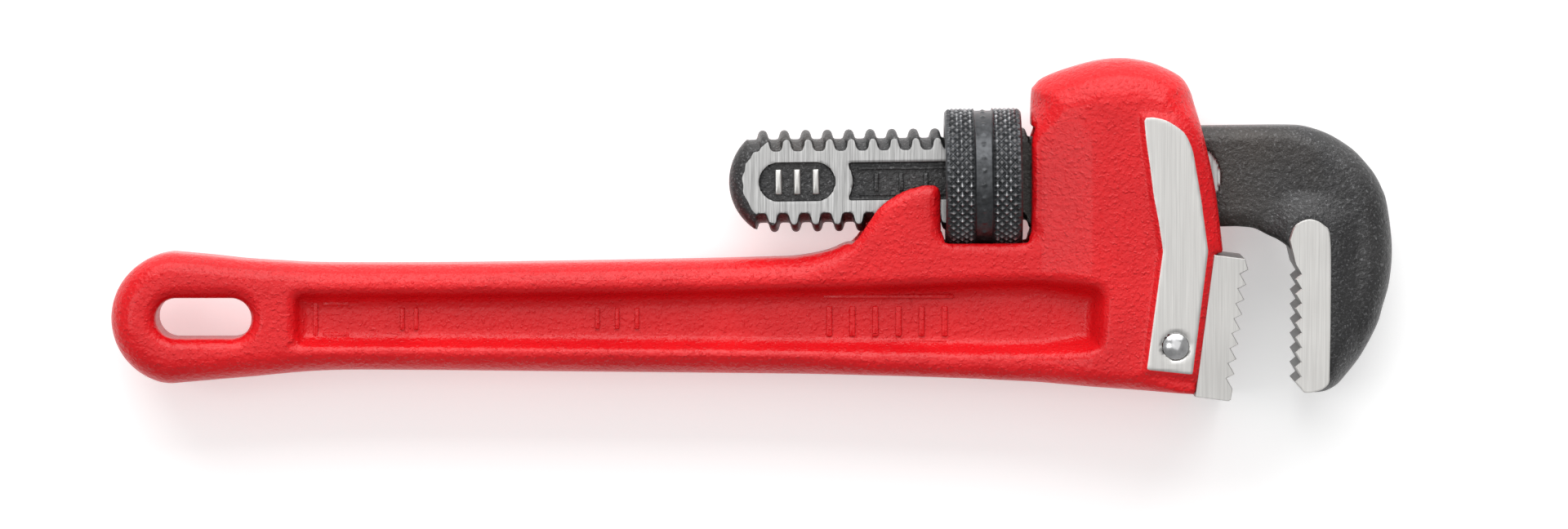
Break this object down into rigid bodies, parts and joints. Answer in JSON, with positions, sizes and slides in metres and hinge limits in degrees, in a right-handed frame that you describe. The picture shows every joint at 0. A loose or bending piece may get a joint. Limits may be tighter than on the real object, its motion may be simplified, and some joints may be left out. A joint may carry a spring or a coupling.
{
  "type": "pipe wrench",
  "caption": "Straight pipe wrench with a cast handle and housing, a sliding hook jaw on a screw thread, a knurled adjusting nut and a pinned toothed heel jaw",
  "frame": {"origin": "Bottom centre of the whole wrench's box as it lies on its side, on the lowest point of the adjusting nut", "axes": "+X from the handle's end to the jaws, +Y across the wrench to the side of the housing's head, +Z through the thickness, up"},
  "size_m": [0.2334, 0.062, 0.0258],
  "materials": {
    "red_enamel": "glossy red enamel over a cast skin",
    "black_forging": "black oxide on a forged skin, flats ground bright",
    "ground_steel": "surface ground",
    "pin_steel": "bright, dressed ends",
    "dark_nut": "dark phosphated, knurled",
    "spring_steel": "oil tempered"
  },
  "bodies": {
    "handle": {"handle": "red_enamel", "heel_jaw": "ground_steel", "heel_jaw_pin": "pin_steel", "coil_spring": "spring_steel"},
    "spring_leaf": {"flat_spring": "spring_steel", "spring_rivet": "spring_steel"},
    "hook_jaw": {"hook_jaw": "black_forging"},
    "adjusting_nut": {"adjusting_nut": "dark_nut"}
  },
  "joints": [
    {"name": "jaw_float", "type": "hinge", "parent": "handle", "child": "spring_leaf", "pos_m": [0.04209, 0.00902, 0.0129], "axis": [0, 0, 1], "range_deg": [-1.5, 0], "stiffness_Nm_per_rad": 10, "springref_deg": 0.57, "deforming": ["coil_spring"]},
    {"name": "jaw_slide", "type": "slide", "parent": "spring_leaf", "child": "hook_jaw", "axis": [0.9999, 0.0122, 0], "range_m": [-0.0075, 0.039]},
    {"name": "nut_spin", "type": "hinge", "parent": "spring_leaf", "child": "adjusting_nut", "pos_m": [0.04209, 0.00902, 0.0129], "axis": [0.9999, 0.0122, 0], "range_deg": [-3600, 700]}
  ],
  "couplings": [
    {"joint": "nut_spin", "follows": "jaw_slide", "rad_per_m": -1602.9}
  ]
}
